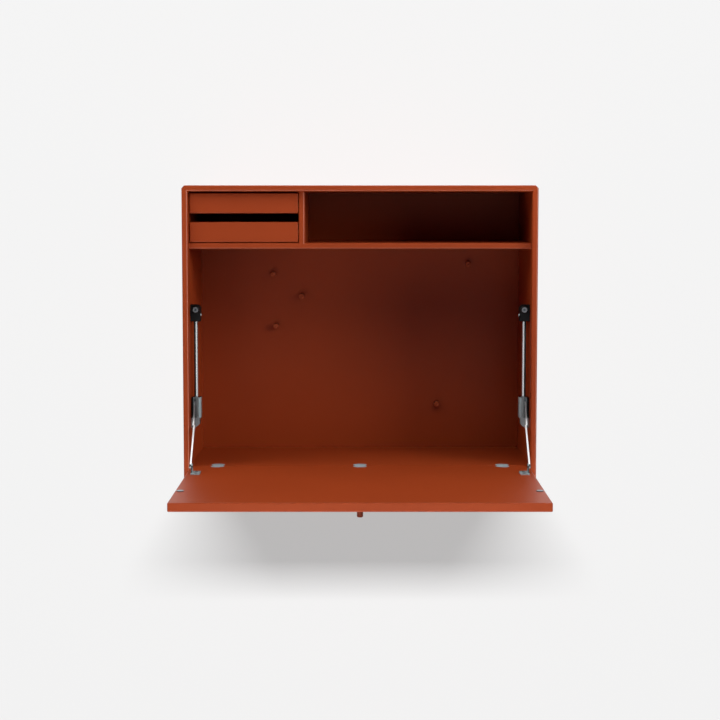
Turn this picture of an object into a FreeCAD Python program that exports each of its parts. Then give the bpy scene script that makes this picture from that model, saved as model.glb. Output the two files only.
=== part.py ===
"""Fold-down wall desk: a wall cabinet with two trays, an open shelf and a flap that drops to a worktop.

Row frame: the wall is the plane y = 0, the desk's front faces -Y, +Z is up and x = 0 is the middle.
z = 0 is the line of the wall screws. Rest pose: the flap lies open, the two drawers are pushed in.
"""
import FreeCAD, Part
import math
import os

V = FreeCAD.Vector

# ---- cabinet -------------------------------------------------------------------------------------
CABINET_W = 696.0
CABINET_D = 300.0
CABINET_H = 582.0
PANEL_T = 12.0
CORNER_CHAMFER = 6.0
ARRIS_R = 3.0
BACK_T = 8.0
BACK_RECESS = 8.0
BACK_GROOVE = 5.0
GROOVE_GAP = 0.3
SCREW_LINE_DROP = 60.0
SHELF_BAY_H = 100.5
DRAWER_BAY_W = 215.7
HOUSED_DEPTH = 4.0

# ---- flap and its hinges -------------------------------------------------------------------------
FLAP_T = 16.0
FLAP_ARRIS_R = 2.0
FLAP_SIDE_GAP = 2.0
FLAP_UNDER_GAP = 1.0
FLAP_ON_SHELF = 4.4
STOP_GAP = 0.5
HINGE_SETBACK = 17.5
HINGE_DROP = 1.5
HEEL_GAP = 0.4
SEAM_GAP = 0.3
HINGE_FROM_SIDE = 54.0
CUP_R = 13.5
CUP_DEPTH = 11.0
CUP_FROM_AXIS = 10.0
HINGE_PIN_R = 1.2
KNUCKLE_R = 2.4
KNUCKLE_CLEAR = 0.3
MID_KNUCKLE_W = 7.0
KNUCKLE_SPAN = 16.0
RUNNING_FIT = 0.05

# ---- knob ----------------------------------------------------------------------------------------
KNOB_R = 5.5
KNOB_LENGTH = 15.0
KNOB_FROM_TIP = 35.0
KNOB_BEVEL = 1.2
STUD_R = 2.0
STUD_IN_FLAP = 9.0
STUD_IN_KNOB = 9.0

# ---- flap stays ----------------------------------------------------------------------------------
ROD_INSET = 9.5
ARM_INSET = 7.5
ROD_R = 4.0
ROD_BEHIND = 50.0
SLIDER_INNER_INSET = 19.5
SLIDER_OUTER_INSET = 4.7
SLIDER_BEVEL = 4.0
SLIDER_FRONT_BEHIND = 32.0
STAY_BACK_BEHIND = 57.0
SLIDER_ABOVE_PIVOT = 12.2
SLIDER_BELOW_PIVOT = 28.8
PAD_ROUND = 2.0
PIVOT_BEHIND = 38.6
PIVOT_OPEN_H = 121.8
SLOT_W = 5.3
SLOT_FLOOR_BEHIND = 44.8
SLOT_MOUTH = 2.5
PAD_GAP = 1.6
RIVET_R = 2.5
RIVET_PROUD = 0.2
ARM_T = 3.0
ARM_W = 6.0
ARM_EYE_R = 5.0
ARM_BEND_ALONG = 55.0
ARM_BEND_SAG = 5.0
ARM_SIDE_GAP = 0.3
ARM_JOGGLE = 1.7
BRACKET_FRONT_BEHIND = 40.0
BRACKET_INNER_INSET = 17.2
BRACKET_H = 19.0
BRACKET_REST_GAP = 1.0
BRACKET_CUT_W = 9.0
BRACKET_CUT_H = 7.8
BRACKET_SOCKET = 12.0
SEAT_RISE = 4.8
BRACKET_STUD_RISE = 4.5
STAY_STUD_R = 3.0
STAY_STUD_L = 8.0
STAY_STUD_BEHIND = 44.0
HOUSING_INNER_INSET = 20.0
HOUSING_H = 33.4
HOUSING_FRONT_BEHIND = 34.0
HOUSING_BELOW_MAGNET = 24.0
HOUSING_TOP_ROUND = 8.0
HOUSING_FOOT_ROUND = 2.0
HOUSING_BEVEL = 1.2
HOUSING_SOCKET = 10.0
HOUSING_STUD_BELOW_MAGNET = 9.0
NOSE_R = 7.5
MAGNET_R = 5.3
MAGNET_T = 5.0
MAGNET_PROUD = 0.5
MAGNET_HOLE_R = 1.6
STRIKE_REACH = 310.3
STRIKE_INSET = 11.8
STRIKE_R = 6.75
STRIKE_T = 1.6
STRIKE_STEM_R = 2.0
STRIKE_BEVEL = 0.4
STRIKE_GAP = 0.3

# ---- flap bracket: the ear on the flap that carries the arm --------------------------------------
BRACKET_PIVOT_REACH = 95.0
BRACKET_PIVOT_H = 11.6
EAR_T = 2.0
EAR_EYE_R = 6.8
EAR_FOOT_BACK = 11.0
EAR_FOOT_FRONT = 18.0
EAR_SLOPE = math.radians(50)
PLATE_W = 17.5
PLATE_BACK = 12.0
PLATE_FRONT = 26.0
PLATE_ROUND = 3.0
ARM_PIN_R = 2.0
ARM_PIN_HEAD_R = 3.2
ARM_PIN_HEAD_T = 0.9
ARM_PIN_PROUD = 0.8

# ---- pegs on the back panel: distance from the middle, then height -------------------------------
PEG_R = 6.0
PEG_LENGTH = 15.0
PEG_BEVEL = 1.2
PEG_DIMPLE_R = 1.6
PEG_DIMPLE_DEPTH = 1.2
PEG_IN_BACK = 6.0
HIGH_PEGS = [(-184.0, 59.7), (-124.0, 106.0), (-178.2, 168.6), (228.9, 37.4)]
LOW_PEGS = [(163.2, 93.5)]

# ---- drawers -------------------------------------------------------------------------------------
DRAWER_FRONT_H = 39.5
DRAWER_FRONT_T = 12.0
DRAWER_TOP_GAP = 3.0
DRAWER_FOOT_GAP = 1.5
DRAWER_SIDE_GAP = 1.2
DRAWER_SETBACK = 20.0
DRAWER_FRONT_ROUND = 2.0
DRAWER_BACK_ROOM = 14.0
BOX_SIDE_T = 10.0
BOX_BACK_T = 8.0
BOX_H = 32.0
BOX_RAISE = 3.5
BOX_SIDE_GAP = 3.0
BOX_BOTTOM_T = 3.0
BOX_BOTTOM_RAISE = 4.0
BOX_BOTTOM_GROOVE = 4.0
RUNNER_T = 7.5
RUNNER_LET_IN = 2.0
RUNNER_BEVEL = 1.8
RUNNER_H = 9.0
RUNNER_RAISE = 13.0
RUNNER_FIT = 0.5
RUNNER_FRONT_ROOM = 6.0
RUNNER_BACK_ROOM = 8.0

# ---- hanging rails behind the back panel ---------------------------------------------------------
RAIL_T = 1.5
RAIL_LENGTH = 600.0
RAIL_SCREW_R = 3.0
RAIL_OUTER_PITCH = 520.0
RAIL_INNER_PITCH = 260.0
RAIL_BELOW_SCREWS = 10.0
RAIL_ABOVE_SCREWS = 6.0
RAIL_OFFSET = 3.0
RAIL_LIP_H = 12.0
RAIL_CLEAR = 0.4
HOOK_FLANGE_H = 18.0
HOOK_LIP_GAP = 0.5
RAIL_BEND_R = 0.6

# ---- planes that follow from the sizes above -----------------------------------------------------
INNER_X = CABINET_W / 2 - PANEL_T
FRONT_Y = -CABINET_D
TOP_Z = SCREW_LINE_DROP
BOTTOM_Z = TOP_Z - CABINET_H
FLOOR_Z = BOTTOM_Z + PANEL_T
SURFACE_Z = FLOOR_Z + FLAP_UNDER_GAP + FLAP_T
CEILING_Z = TOP_Z - PANEL_T
SHELF_TOP_Z = CEILING_Z - SHELF_BAY_H
SHELF_UNDER_Z = SHELF_TOP_Z - PANEL_T
BACK_FACE_Y = -(BACK_RECESS + BACK_T)
HINGE_Y = FRONT_Y + HINGE_SETBACK
HINGE_Z = SURFACE_Z - HINGE_DROP
CLOSED_FACE_Y = HINGE_Y + HINGE_DROP
WORKTOP_FRONT_Y = CLOSED_FACE_Y + SEAM_GAP
SHELF_FRONT_Y = CLOSED_FACE_Y + STOP_GAP
FLAP_HEEL_Y = HINGE_Y - HEEL_GAP
FLAP_LENGTH = SHELF_UNDER_Z + FLAP_ON_SHELF - HINGE_Z - HEEL_GAP
FLAP_TIP_Y = FLAP_HEEL_Y - FLAP_LENGTH
FLAP_UNDER_Z = SURFACE_Z - FLAP_T
FLAP_X = INNER_X - FLAP_SIDE_GAP
HINGE_X = INNER_X - HINGE_FROM_SIDE
DIVIDER_LEFT_X = DRAWER_BAY_W - INNER_X
DIVIDER_RIGHT_X = DIVIDER_LEFT_X + PANEL_T

ROD_X = INNER_X - ROD_INSET
ARM_X = INNER_X - ARM_INSET
LOWER_ARM_X = ARM_X - ARM_JOGGLE
SLOT_INNER_X = ARM_X + ARM_T / 2 + ARM_SIDE_GAP - SLOT_W
ROD_Y = FRONT_Y + ROD_BEHIND
PIVOT_Y = FRONT_Y + PIVOT_BEHIND
PIVOT_Z = SURFACE_Z + PIVOT_OPEN_H
SLIDER_BOTTOM_Z = PIVOT_Z - SLIDER_BELOW_PIVOT
SLIDER_H = SLIDER_ABOVE_PIVOT + SLIDER_BELOW_PIVOT
BRACKET_TOP_Z = SLIDER_BOTTOM_Z - BRACKET_REST_GAP
STRIKE_X = INNER_X - STRIKE_INSET
STRIKE_Y = HINGE_Y - STRIKE_REACH
MAGNET_Z = HINGE_Z + STRIKE_REACH
MAGNET_FACE_Y = CLOSED_FACE_Y + STRIKE_T + STRIKE_GAP
HOUSING_BOTTOM_Z = MAGNET_Z - HOUSING_BELOW_MAGNET
ARM_PIN_Y = HINGE_Y - BRACKET_PIVOT_REACH
ARM_PIN_Z = SURFACE_Z + BRACKET_PIVOT_H

LEFT, RIGHT = -1, 1
X_AXIS = V(1, 0, 0)
Y_AXIS = V(0, 1, 0)
Z_AXIS = V(0, 0, 1)


# ---- shaping helpers -----------------------------------------------------------------------------
def block(x0, x1, y0, y1, z0, z1):
    """A box between two values on each axis, given in either order."""
    low = V(min(x0, x1), min(y0, y1), min(z0, z1))
    return Part.makeBox(abs(x1 - x0), abs(y1 - y0), abs(z1 - z0), low)


def rod(radius, start, end):
    """A round bar from one point to another."""
    run = end - start
    return Part.makeCylinder(radius, run.Length, start, run)


def outline(points):
    """A flat face inside a closed polygon."""
    return Part.Face(Part.makePolygon(points + [points[0]]))


def prism_y(points_xz, y0, y1):
    """An outline in the XZ plane, drawn out along Y."""
    return outline([V(x, y0, z) for x, z in points_xz]).extrude(V(0, y1 - y0, 0))


def prism_x(points_yz, x0, x1):
    """An outline in the YZ plane, drawn out along X."""
    return outline([V(x0, y, z) for y, z in points_yz]).extrude(V(x1 - x0, 0, 0))


def fillet(shape, radius, chosen):
    """Round the edges whose middle point and direction the test picks."""
    edges = []
    for edge in shape.Edges:
        if chosen(edge.CenterOfMass, edge):
            edges.append(edge)
    return shape.makeFillet(radius, edges)


def runs_along(edge, axis):
    """True where a straight edge lies along an axis."""
    if not isinstance(edge.Curve, Part.Line):
        return False
    return abs(edge.Curve.Direction.dot(axis)) > 0.999


def near(value, target):
    return abs(value - target) < 0.01


def together(shapes):
    """Separate solids that share one node."""
    return Part.makeCompound(shapes)


def joined(shapes):
    """One solid from pieces that overlap or meet."""
    return shapes[0].fuse(shapes[1:]).removeSplitter()


def bevel(shape, size, chosen):
    """Cut a 45 degree bevel along the edges that the test picks."""
    edges = []
    for edge in shape.Edges:
        if chosen(edge.CenterOfMass, edge):
            edges.append(edge)
    return shape.makeChamfer(size, edges)


# ---- cabinet panels ------------------------------------------------------------------------------
def soften_front(panel, front_y):
    """Break the two long arrises of a panel's front edge."""
    return fillet(panel, ARRIS_R, lambda c, e: near(c.y, front_y) and e.Length > 4 * PANEL_T)


def side_panel(side):
    """A side with mitred ends. Its outer corners carry half of the cabinet's chamfer."""
    outer_x = side * CABINET_W / 2
    inner_x = side * INNER_X
    cut = CORNER_CHAMFER
    half_x = outer_x - side * cut / 2
    points = [
        (outer_x, TOP_Z - cut),
        (half_x, TOP_Z - cut / 2),
        (inner_x, CEILING_Z),
        (inner_x, FLOOR_Z),
        (half_x, BOTTOM_Z + cut / 2),
        (outer_x, BOTTOM_Z + cut),
    ]
    return soften_front(prism_y(points, FRONT_Y, 0), FRONT_Y)


def level_panel(outer_z, inner_z):
    """The top or the bottom, mitred to both sides."""
    inward = 1 if inner_z > outer_z else -1
    cut = CORNER_CHAMFER
    flat_x = CABINET_W / 2 - cut
    points = [
        (-flat_x, outer_z),
        (flat_x, outer_z),
        (flat_x + cut / 2, outer_z + inward * cut / 2),
        (INNER_X, inner_z),
        (-INNER_X, inner_z),
        (-flat_x - cut / 2, outer_z + inward * cut / 2),
    ]
    return soften_front(prism_y(points, FRONT_Y, 0), FRONT_Y)


def back_board(reach):
    """A board as thick as the back that reaches a given way into all four panels."""
    half_w = INNER_X + reach
    return block(-half_w, half_w, BACK_FACE_Y, -BACK_RECESS, FLOOR_Z - reach, CEILING_Z + reach)


def back_groove():
    """The groove round all four panels that the back slides into."""
    return back_board(BACK_GROOVE)


def back_panel():
    return back_board(BACK_GROOVE - GROOVE_GAP)


def fixed_worktop():
    """The board behind the hinges, level with the open flap."""
    board = block(-INNER_X, INNER_X, WORKTOP_FRONT_Y, BACK_FACE_Y, FLOOR_Z, SURFACE_Z)
    return fillet(board, HEEL_GAP, lambda c, e: near(c.y, WORKTOP_FRONT_Y) and near(c.z, SURFACE_Z))


def shelf():
    """The shelf, whose ends are housed in both sides."""
    reach = INNER_X + HOUSED_DEPTH
    board = block(-reach, reach, SHELF_FRONT_Y, BACK_FACE_Y, SHELF_UNDER_Z, SHELF_TOP_Z)
    return soften_front(board, SHELF_FRONT_Y)


def divider():
    """The upright beside the drawers, housed in the top and in the shelf."""
    z0 = SHELF_TOP_Z - HOUSED_DEPTH
    z1 = CEILING_Z + HOUSED_DEPTH
    board = block(DIVIDER_LEFT_X, DIVIDER_RIGHT_X, SHELF_FRONT_Y, BACK_FACE_Y, z0, z1)
    return soften_front(board, SHELF_FRONT_Y)


# ---- pegs ----------------------------------------------------------------------------------------
def peg_places():
    """High pegs are set out down from the shelf, low ones up from the worktop."""
    high = [V(x, BACK_FACE_Y, SHELF_UNDER_Z - drop) for x, drop in HIGH_PEGS]
    low = [V(x, BACK_FACE_Y, SURFACE_Z + rise) for x, rise in LOW_PEGS]
    return high + low


def peg(place):
    """A turned peg. Its face is bevelled and has the lathe centre's dimple, its other end is glued in."""
    tip = place - Y_AXIS * PEG_LENGTH
    body = rod(PEG_R, place + Y_AXIS * PEG_IN_BACK, tip)
    body = bevel(body, PEG_BEVEL, lambda c, e: near(c.y, tip.y))
    return body.cut(Part.makeCone(PEG_DIMPLE_R, 0, PEG_DIMPLE_DEPTH, tip, Y_AXIS))


# ---- hanging rails -------------------------------------------------------------------------------
def rail_bends(shape):
    """Round the long bends of a folded steel strip."""
    return fillet(shape, RAIL_BEND_R, lambda c, e: runs_along(e, X_AXIS) and e.Length > RAIL_LENGTH / 2
                  and not near(abs(c.y), 0.0))


def screw_hole_places():
    places = []
    for pitch in (RAIL_OUTER_PITCH, RAIL_INNER_PITCH):
        places += [V(-pitch / 2, 0, 0), V(pitch / 2, 0, 0)]
    return places


def wall_rail():
    """A stepped steel strip on the wall. Its upper lip stands off the wall and carries the desk."""
    step_z = RAIL_ABOVE_SCREWS
    lip_y = -(RAIL_T + RAIL_OFFSET)
    points = [
        (0, -RAIL_BELOW_SCREWS),
        (-RAIL_T, -RAIL_BELOW_SCREWS),
        (-RAIL_T, step_z),
        (lip_y, step_z),
        (lip_y, step_z + RAIL_T + RAIL_LIP_H),
        (lip_y + RAIL_T, step_z + RAIL_T + RAIL_LIP_H),
        (lip_y + RAIL_T, step_z + RAIL_T),
        (0, step_z + RAIL_T),
    ]
    strip = rail_bends(prism_x(points, -RAIL_LENGTH / 2, RAIL_LENGTH / 2))
    for place in screw_hole_places():
        strip = strip.cut(rod(RAIL_SCREW_R, place, place - Y_AXIS * 2 * RAIL_T))
    return strip


def hook_rail():
    """The matching strip on the back panel. Its lip drops behind the wall rail's lip."""
    shelf_z = RAIL_ABOVE_SCREWS + RAIL_T + RAIL_LIP_H
    wall_lip_back_y = -RAIL_OFFSET
    lip_front_y = wall_lip_back_y + RAIL_CLEAR
    lip_back_y = lip_front_y + RAIL_T
    lip_end_z = RAIL_ABOVE_SCREWS + RAIL_T + HOOK_LIP_GAP
    points = [
        (-BACK_RECESS, shelf_z),
        (lip_front_y, shelf_z),
        (lip_front_y, lip_end_z),
        (lip_back_y, lip_end_z),
        (lip_back_y, shelf_z + RAIL_T),
        (-BACK_RECESS + RAIL_T, shelf_z + RAIL_T),
        (-BACK_RECESS + RAIL_T, shelf_z + HOOK_FLANGE_H),
        (-BACK_RECESS, shelf_z + HOOK_FLANGE_H),
    ]
    return rail_bends(prism_x(points, -RAIL_LENGTH / 2, RAIL_LENGTH / 2))


# ---- flap ----------------------------------------------------------------------------------------
def flap_panel():
    board = block(-FLAP_X, FLAP_X, FLAP_HEEL_Y, FLAP_TIP_Y, FLAP_UNDER_Z, SURFACE_Z)
    return fillet(board, FLAP_ARRIS_R, lambda c, e: near(c.y, FLAP_TIP_Y) or near(abs(c.x), FLAP_X)
                  and not near(c.y, FLAP_HEEL_Y))


def knob_place():
    return V(0, FLAP_TIP_Y + KNOB_FROM_TIP, FLAP_UNDER_Z)


def knob():
    """A turned knob on the flap's outer face, so it points down while the flap is open."""
    place = knob_place()
    body = rod(KNOB_R, place, place - Z_AXIS * KNOB_LENGTH)
    return bevel(body, KNOB_BEVEL, lambda c, e: near(c.z, place.z - KNOB_LENGTH))


def knob_stud():
    place = knob_place()
    return rod(STUD_R, place + Z_AXIS * STUD_IN_FLAP, place - Z_AXIS * STUD_IN_KNOB)


# ---- flap hinges ---------------------------------------------------------------------------------
def hinge_places():
    return {"left": -HINGE_X, "middle": 0.0, "right": HINGE_X}


def hinge_cup(x, toward, edge_y):
    """One half of a flush hinge: a cup pressed into its board and cut flat where the board ends.
    toward is +1 for the worktop's half, behind the axis, and -1 for the flap's half, in front."""
    centre = V(x, HINGE_Y + toward * CUP_FROM_AXIS, SURFACE_Z)
    cup = rod(CUP_R, centre, centre - Z_AXIS * CUP_DEPTH)
    far_y = centre.y + toward * 2 * CUP_R
    return cup.common(block(x - 2 * CUP_R, x + 2 * CUP_R, edge_y, far_y, SURFACE_Z, SURFACE_Z - CUP_DEPTH))


def knuckle(x0, x1, toward, edge_y):
    """A barrel round the pin, flat on top, with a web back to its own cup."""
    barrel = on_axis(KNUCKLE_R, x0, x1)
    web = block(x0, x1, HINGE_Y, edge_y + toward * KNUCKLE_R, HINGE_Z - KNUCKLE_R, SURFACE_Z)
    reach = CUP_FROM_AXIS
    under_top = block(x0, x1, HINGE_Y - reach, HINGE_Y + reach, HINGE_Z - KNUCKLE_R, SURFACE_Z)
    return barrel.fuse(web).common(under_top)


def on_axis(radius, x0, x1):
    """A round bar on the hinge axis."""
    return rod(radius, V(x0, HINGE_Y, HINGE_Z), V(x1, HINGE_Y, HINGE_Z))


def knuckle_room(x0, x1):
    """The hollow that lets the other half's barrel turn."""
    return on_axis(KNUCKLE_R + KNUCKLE_CLEAR, x0, x1)


def hinge_pin(x):
    return on_axis(HINGE_PIN_R, x - KNUCKLE_SPAN / 2, x + KNUCKLE_SPAN / 2)


def worktop_hinge_cup(x):
    """The fixed half: the middle barrel holds the pin, and two hollows clear the flap's barrels."""
    half_mid = MID_KNUCKLE_W / 2
    half_span = KNUCKLE_SPAN / 2
    cup = hinge_cup(x, 1, WORKTOP_FRONT_Y)
    for side in (LEFT, RIGHT):
        near_x = x + side * (half_mid + KNUCKLE_CLEAR / 2)
        cup = cup.cut(knuckle_room(near_x, x + side * (half_span + KNUCKLE_CLEAR)))
    cup = joined([cup, knuckle(x - half_mid, x + half_mid, 1, WORKTOP_FRONT_Y)])
    return cup.cut(hinge_pin(x))


def flap_hinge_cup(x):
    """The moving half: two outer barrels turn on the pin."""
    half_mid = MID_KNUCKLE_W / 2
    half_span = KNUCKLE_SPAN / 2
    cup = hinge_cup(x, -1, FLAP_HEEL_Y)
    cup = cup.cut(knuckle_room(x - half_mid - KNUCKLE_CLEAR / 2, x + half_mid + KNUCKLE_CLEAR / 2))
    barrels = []
    for side in (LEFT, RIGHT):
        near_x = x + side * (half_mid + KNUCKLE_CLEAR)
        far_x = x + side * half_span
        barrels.append(knuckle(min(near_x, far_x), max(near_x, far_x), -1, FLAP_HEEL_Y))
    cup = joined([cup] + barrels)
    return cup.cut(on_axis(HINGE_PIN_R + RUNNING_FIT, x - CUP_R, x + CUP_R))


# ---- flap stays: everything below is built for the right side and mirrored for the left ----------
def placed(shape, side):
    if side == RIGHT:
        return shape
    return shape.mirror(V(0, 0, 0), X_AXIS)


def stay_rod():
    bottom = V(ROD_X, ROD_Y, BRACKET_TOP_Z - BRACKET_SOCKET)
    return rod(ROD_R, bottom, V(ROD_X, ROD_Y, HOUSING_BOTTOM_Z + HOUSING_SOCKET))


def slanted_seat(z):
    """The slope between slider and foot: it falls from the slider's slot towards the middle of the desk."""
    return [(SLOT_INNER_X, z), (SLOT_INNER_X, z + SEAT_RISE), (INNER_X - BRACKET_INNER_INSET, z)]


def lower_bracket():
    """A cast foot with a sloping seat, a slanted lower corner and a socket for the rod."""
    inner_x = INNER_X - BRACKET_INNER_INSET
    bottom_z = BRACKET_TOP_Z - BRACKET_H
    points = [
        (INNER_X, bottom_z),
        (INNER_X, BRACKET_TOP_Z),
        *slanted_seat(BRACKET_TOP_Z),
        (inner_x, bottom_z + BRACKET_CUT_H),
        (inner_x + BRACKET_CUT_W, bottom_z),
    ]
    foot = prism_y(points, FRONT_Y + BRACKET_FRONT_BEHIND, FRONT_Y + STAY_BACK_BEHIND)
    foot = bevel(foot, HOUSING_BEVEL, lambda c, e: near(c.x, inner_x) and runs_along(e, Z_AXIS))
    return joined([foot, stay_stud(BRACKET_TOP_Z - BRACKET_H + BRACKET_STUD_RISE)]).cut(stay_rod())


def stay_stud(z):
    """A cast stud that the side panel takes. The foot and the housing each have one."""
    start = V(INNER_X, FRONT_Y + STAY_STUD_BEHIND, z)
    return rod(STAY_STUD_R, start, start + X_AXIS * STAY_STUD_L)


def stay_studs():
    foot_z = BRACKET_TOP_Z - BRACKET_H + BRACKET_STUD_RISE
    return [stay_stud(foot_z), stay_stud(MAGNET_Z - HOUSING_STUD_BELOW_MAGNET)]


def housing():
    """The moulded head of the stay. A round nose carries the magnet that holds the closed flap."""
    x0 = INNER_X - HOUSING_INNER_INSET
    y0 = FRONT_Y + HOUSING_FRONT_BEHIND
    y1 = FRONT_Y + STAY_BACK_BEHIND
    body = block(x0, INNER_X, y0, y1, HOUSING_BOTTOM_Z, HOUSING_BOTTOM_Z + HOUSING_H)
    rounds = [(HOUSING_BOTTOM_Z + HOUSING_H, HOUSING_TOP_ROUND), (HOUSING_BOTTOM_Z, HOUSING_FOOT_ROUND)]
    for z, radius in rounds:
        body = fillet(body, radius, lambda c, e: near(c.x, x0) and near(c.z, z) and runs_along(e, Y_AXIS))
    body = bevel(body, HOUSING_BEVEL, lambda c, e: near(c.y, y0) and not near(c.x, INNER_X))
    nose = rod(NOSE_R, V(STRIKE_X, y0, MAGNET_Z), V(STRIKE_X, MAGNET_FACE_Y + MAGNET_PROUD, MAGNET_Z))
    nose = bevel(nose, HOUSING_BEVEL, lambda c, e: near(c.y, MAGNET_FACE_Y + MAGNET_PROUD))
    body = joined([body, nose, stay_stud(MAGNET_Z - HOUSING_STUD_BELOW_MAGNET)])
    return body.cut(together([magnet_disc(), stay_rod()]))


def magnet_disc():
    face = V(STRIKE_X, MAGNET_FACE_Y, MAGNET_Z)
    return rod(MAGNET_R, face, face + Y_AXIS * MAGNET_T)


def magnet():
    """A ring magnet, flush with the nose apart from its face."""
    face = V(STRIKE_X, MAGNET_FACE_Y, MAGNET_Z)
    return magnet_disc().cut(rod(MAGNET_HOLE_R, face, face + Y_AXIS * MAGNET_T / 2))


def slider():
    """A cast runner on the rod. The arm works in its slot, which is open in front, so the arm clears
    the runner all through its swing."""
    x0 = INNER_X - SLIDER_INNER_INSET
    x1 = INNER_X - SLIDER_OUTER_INSET
    y0 = FRONT_Y + SLIDER_FRONT_BEHIND
    y1 = FRONT_Y + STAY_BACK_BEHIND
    z0 = SLIDER_BOTTOM_Z
    z1 = SLIDER_BOTTOM_Z + SLIDER_H
    body = block(x0, x1, y0, y1, z0, z1)
    body = bevel(body, SLIDER_BEVEL, lambda c, e: runs_along(e, Z_AXIS) and near(c.x, x0) and near(c.y, y0))
    slot_floor_y = FRONT_Y + SLOT_FLOOR_BEHIND
    slot_x1 = SLOT_INNER_X + SLOT_W
    slot = block(SLOT_INNER_X, slot_x1, y0, slot_floor_y, z0, z1)
    mouth = prism_y([
        (SLOT_INNER_X - SLOT_MOUTH, z1),
        (SLOT_INNER_X, z1 - SLOT_MOUTH),
        (slot_x1, z1 - SLOT_MOUTH),
        (slot_x1, z1),
    ], y0, slot_floor_y)
    seat = prism_y(slanted_seat(z0), y0, y1)
    bore = rod(ROD_R + RUNNING_FIT, V(ROD_X, ROD_Y, z0), V(ROD_X, ROD_Y, z1))
    return body.cut(slot).cut(mouth).cut(seat).cut(bore).cut(slider_rivet())


def slider_pad():
    """The plastic pad that slides on the side panel, behind the cast runner."""
    x0 = INNER_X - SLIDER_OUTER_INSET
    y0 = FRONT_Y + SLIDER_FRONT_BEHIND
    y1 = FRONT_Y + STAY_BACK_BEHIND
    pad = block(x0, INNER_X - PAD_GAP, y0, y1, SLIDER_BOTTOM_Z, SLIDER_BOTTOM_Z + SLIDER_H)
    return fillet(pad, PAD_ROUND, lambda c, e: runs_along(e, X_AXIS))


def slider_rivet():
    """The pivot's rivet, closed almost flush in the inner cheek."""
    start_x = INNER_X - SLIDER_INNER_INSET - RIVET_PROUD
    return rod(RIVET_R, V(start_x, PIVOT_Y, PIVOT_Z), V(SLOT_INNER_X, PIVOT_Y, PIVOT_Z))


def arm_points():
    """Slider pivot, bend and flap pivot of the arm, in the YZ plane."""
    start = V(0, PIVOT_Y, PIVOT_Z)
    end = V(0, ARM_PIN_Y, ARM_PIN_Z)
    along = (end - start).normalize()
    down = X_AXIS.cross(along).normalize()
    if down.z > 0:
        down = -down
    bend = start + along * ARM_BEND_ALONG + down * ARM_BEND_SAG
    return start, bend, end


def bar(start, end):
    """A flat length of the arm between two points of its plane."""
    along = (end - start).normalize()
    across = X_AXIS.cross(along) * (ARM_W / 2)
    base = -X_AXIS * (ARM_T / 2)
    corners = [start + across + base, end + across + base, end - across + base, start - across + base]
    return outline(corners).extrude(X_AXIS * ARM_T)


def disc(centre, radius, thickness):
    return rod(radius, centre - X_AXIS * (thickness / 2), centre + X_AXIS * (thickness / 2))


def stay_arm():
    """The bent steel arm, pressed in two levels: the upper one turns in the slider's slot, and the
    lower one, nearer the middle of the desk, on the flap bracket's pin."""
    start, bend, end = arm_points()
    upper = X_AXIS * ARM_X
    lower = X_AXIS * LOWER_ARM_X
    pieces = [
        bar(start + upper, bend + upper),
        bar(bend + lower, end + lower),
        disc(start + upper, ARM_EYE_R, ARM_T),
        disc(bend + upper, ARM_W / 2, ARM_T),
        disc(bend + lower, ARM_W / 2, ARM_T),
        disc(end + lower, ARM_EYE_R, ARM_T),
    ]
    hole_length = 2 * (ARM_T + ARM_JOGGLE)
    eyes = [disc(place + upper, ARM_PIN_R + RUNNING_FIT, hole_length) for place in (start, end)]
    return joined(pieces).cut(together(eyes))


def ear_faces():
    """The flap bracket's ear stands just inside the arm's lower level: its inner and outer face."""
    outer = LOWER_ARM_X - ARM_T / 2 - ARM_SIDE_GAP
    return outer - EAR_T, outer


def flap_bracket():
    """A folded steel bracket: a foot plate on the flap and an ear with the arm's pin."""
    ear_in, ear_out = ear_faces()
    back_y = ARM_PIN_Y + PLATE_BACK
    plate = block(ear_out - PLATE_W, ear_out, back_y, ARM_PIN_Y - PLATE_FRONT, SURFACE_Z, SURFACE_Z + EAR_T)
    plate = fillet(plate, PLATE_ROUND, lambda c, e: runs_along(e, Z_AXIS))
    points = [
        (ARM_PIN_Y + EAR_FOOT_BACK, SURFACE_Z),
        (ARM_PIN_Y + EAR_EYE_R, ARM_PIN_Z),
        (ARM_PIN_Y - EAR_EYE_R * math.cos(EAR_SLOPE), ARM_PIN_Z + EAR_EYE_R * math.sin(EAR_SLOPE)),
        (ARM_PIN_Y - EAR_FOOT_FRONT, SURFACE_Z),
    ]
    ear = prism_x(points, ear_in, ear_out)
    pin = V(0, ARM_PIN_Y, ARM_PIN_Z)
    eye = rod(EAR_EYE_R, pin + X_AXIS * ear_in, pin + X_AXIS * ear_out)
    bracket = joined([plate, ear, eye])
    return bracket.cut(flap_bracket_pin())


def flap_bracket_pin():
    """The arm's pin, riveted in the ear, with a head outside the arm."""
    start = V(ear_faces()[0] - ARM_PIN_PROUD, ARM_PIN_Y, ARM_PIN_Z)
    seat = V(LOWER_ARM_X + ARM_T / 2 + ARM_SIDE_GAP, ARM_PIN_Y, ARM_PIN_Z)
    head = rod(ARM_PIN_HEAD_R, seat, seat + X_AXIS * ARM_PIN_HEAD_T)
    return joined([rod(ARM_PIN_R, start, seat), head])


def strike_plate():
    """The steel disc on the flap that the magnet pulls. Its stem is pressed into the flap."""
    place = V(STRIKE_X, STRIKE_Y, SURFACE_Z)
    plate = rod(STRIKE_R, place, place + Z_AXIS * STRIKE_T)
    plate = bevel(plate, STRIKE_BEVEL, lambda c, e: near(c.z, SURFACE_Z + STRIKE_T))
    return joined([plate, strike_stem()])


def strike_stem():
    place = V(STRIKE_X, STRIKE_Y, SURFACE_Z)
    return rod(STRIKE_STEM_R, place, place - Z_AXIS * FLAP_T / 2)


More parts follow.
